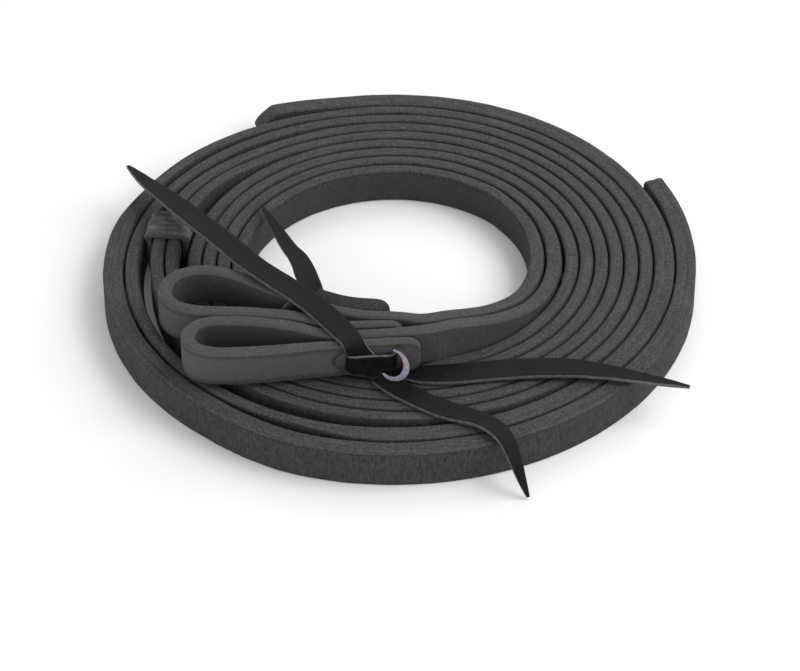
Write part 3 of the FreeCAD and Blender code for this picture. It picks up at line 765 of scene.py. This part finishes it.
def curl_rows():
    """Crescent round the second hole, widest in its middle."""
    count = 12
    rows = []
    for k in range(count + 1):
        share = k / count
        a = math.radians(86.0 - 226.0 * share)
        rows.append((-1.7 + 4.5 * math.cos(a), -65.0 - 0.6 * math.sin(math.pi * share),
                     20.9 + 5.6 * math.sin(a), 1.2 + 2.4 * math.sin(math.pi * share ** 1.15), (0, 1, 0)))
    return rows


# the lace's pale core, where it curls out of the second hole
curl = lace_mesh("front_lace_curl", curl_rows(), 7.0, thickness=2.5, cup=0.0)
finish_piece(curl, LACE_CORE, "coil")

# slack bights of lace between the legs of each loop
SLACK_FRONT = [
    (-21.6, -60.3, 24.6, 1.6, (0.1, 1, 0)), (-24.4, -60.6, 26.2, 1.7, (0.1, 1, 0)),
    (-27.4, -60.6, 25.4, 1.8, (0.1, 1, 0)), (-28.9, -60.6, 22.4, 1.8, (0.1, 1, 0)),
    (-27.2, -60.6, 19.4, 1.8, (0.1, 1, 0)), (-23.0, -60.3, 18.4, 1.6, (0.1, 1, 0)),
]
SLACK_REAR = [
    (-33.4, -41.9, 26.9, 2.4, (1, 0.4, 0)), (-34.6, -42.4, 26.7, 3.0, (1, 0.4, 0)),
    (-36.0, -43.2, 25.6, 3.4, (1, 0.3, 0)), (-37.0, -44.0, 23.2, 3.4, (1, 0.2, 0)),
    (-37.0, -44.4, 19.6, 3.2, (1, 0.2, 0)), (-36.4, -44.4, 16.6, 2.6, (1, 0.2, 0)),
]
for name, rows, seed in (("front_lace_slack", SLACK_FRONT, 8.0), ("rear_lace_slack", SLACK_REAR, 9.0)):
    slack = lace_mesh(name, rows, seed, thickness=1.1, cup=0.0)
    finish_piece(slack, LACE_LEATHER, "coil")


# ---------------------------------------------------------------- keeper
def rounded_outline(x0, x1, z0, z1, low_r, top_r):
    """Closed rounded rectangle from its lower right corner round: x, z and the outward direction."""
    rows = []
    for cx, cz, first, r in ((x1, z0, -90, low_r), (x1, z1, 0, top_r), (x0, z1, 90, top_r),
                             (x0, z0, 180, low_r)):
        mx = cx - r if cx == x1 else cx + r
        mz = cz + r if cz == z0 else cz - r
        for k in range(7):
            a = math.radians(first + 15.0 * k)
            rows.append((mx + r * math.cos(a), mz + r * math.sin(a), math.cos(a), math.sin(a)))
    out = []
    for n, row in enumerate(rows):
        out.append(row)
        if n % 7 == 6:
            nxt = rows[(n + 1) % len(rows)]
            for k in range(1, 7):
                out.append((row[0] + (nxt[0] - row[0]) * k / 7, row[1] + (nxt[1] - row[1]) * k / 7,
                            row[2], row[3]))
    return out


def keeper_section():
    """Section across the band, along the outside face with its grooves and back along the inside face:
    place across (-1 to 1), layer (1 outside, 0 inside), depth below the surface, value of cut."""
    columns = 44
    section = []
    for k in range(columns + 1):
        u = k / columns * 2 - 1
        rounding = 0.8 * max(0.0, (abs(u) - 0.82) / 0.18) ** 2
        groove = max(math.exp(-((u - place) / 0.09) ** 2) for place in (-0.66, -0.23, 0.2, 0.62))
        section.append((u, 1.0, rounding + 0.4 * groove, 0.0 if abs(u) < 0.93 else 1.0))
    section.append((1.0, 0.0, 0.0, 1.0))
    for k in range(1, 8):
        section.append((1.0 - 2 * k / 8, 0.0, 0.0, -1.0))
    section.append((-1.0, 0.0, 0.0, 1.0))
    return section


def make_keeper():
    """Soft band round the pair with shallow grooves running round it. It widens towards its top, where
    the crown is."""
    wall = 1.8
    half_angle = 4.7
    crown_height = 0.8
    flare = 1.6
    flare_from = 12.2
    inner = inner_radius(KEEPER_TURN) - CLEAR
    outer = front_radius(KEEPER_TURN) + THICK + CLEAR
    low, high = 0.0, 2.2 + WIDTH + 0.3 + wall
    outside = rounded_outline(inner - wall, outer + wall, low, high, 2.0, 4.2)
    inside = rounded_outline(inner - 0.1, outer + 0.1, low + wall, high - wall + 0.2, 0.5, 1.0)
    middle = (inner + outer) / 2
    section = keeper_section()
    rings = []
    grain = []
    cut = []
    turn = 0.0
    for n, (ox, oz, nx, nz) in enumerate(outside):
        if n:
            turn += math.dist(outside[n - 1][:2], (ox, oz))
        ix, iz = inside[n][:2]
        crown = crown_height * max(0.0, nz) * math.cos((ox - middle) / 5.6)
        ring = []
        for u, layer, depth, edge in section:
            uneven = 0.12 * wander(turn, u * 5.0, 8.0, 4.0) + crown
            reach = uneven - depth if layer else 0.0
            x = (ox if layer else ix) + nx * reach
            if layer:
                spread = flare * ease((oz - flare_from) / 3.4) * ease(abs(x - middle) / 6.0)
                x += math.copysign(spread, x - middle)
            z = max(0.0, (oz if layer else iz) + nz * reach)
            a = math.radians(KEEPER_TURN % 360.0 + half_angle * (u + 0.05 * wander(turn, 0.0, 9.0, 6.0)))
            ring.append((x * math.cos(a), x * math.sin(a), z))
            grain.append((turn, u * 6.5, layer * 3.0))
            cut.append(edge)
        rings.append(ring)
    obj = build_mesh("keeper_band", rings, grain, cut, closed=True, sharp=55.0)
    finish_piece(obj, KEEPER_LEATHER, "keeper", "keeper")


make_keeper()


# ---------------------------------------------------------------- floor and light
def make_floor():
    mesh = bpy.data.meshes.new("floor")
    mesh.from_pydata([(-3, -3, 0), (3, -3, 0), (3, 3, 0), (-3, 3, 0)], [], [(0, 1, 2, 3)])
    m = Nodes("floor")
    m.shader.inputs["Base Color"].default_value = (0.93, 0.93, 0.93, 1.0)
    m.shader.inputs["Roughness"].default_value = 0.9
    m.shader.inputs["Specular IOR Level"].default_value = 0.1
    mesh.materials.append(m.material)
    linked("floor", mesh)


def area_light(name, place, target, size, power):
    data = bpy.data.lights.new(name, "AREA")
    data.shape = "RECTANGLE"
    data.size, data.size_y = size
    data.energy = power
    obj = linked(name, data)
    obj.location = place
    direction = Vector(target) - Vector(place)
    obj.rotation_euler = direction.to_track_quat("-Z", "Y").to_euler()


make_floor()
area_light("key", (0.75, -0.1, 0.85), (0, 0, 0), (0.8, 0.8), 8.0)
area_light("front", (0.1, -1.25, 0.6), (0, 0, 0.01), (0.9, 0.5), 2.7)
area_light("left", (-1.1, -0.45, 0.26), (0, 0, 0.02), (0.8, 0.2), 2.6)
area_light("back", (0.35, 1.0, 0.8), (0, 0, 0), (1.0, 0.6), 4.5)

world = bpy.data.worlds.new("studio")
world.use_nodes = True
background = world.node_tree.nodes["Background"]
background.inputs["Color"].default_value = (1.0, 1.0, 1.0, 1.0)
background.inputs["Strength"].default_value = 0.55
scene.world = world
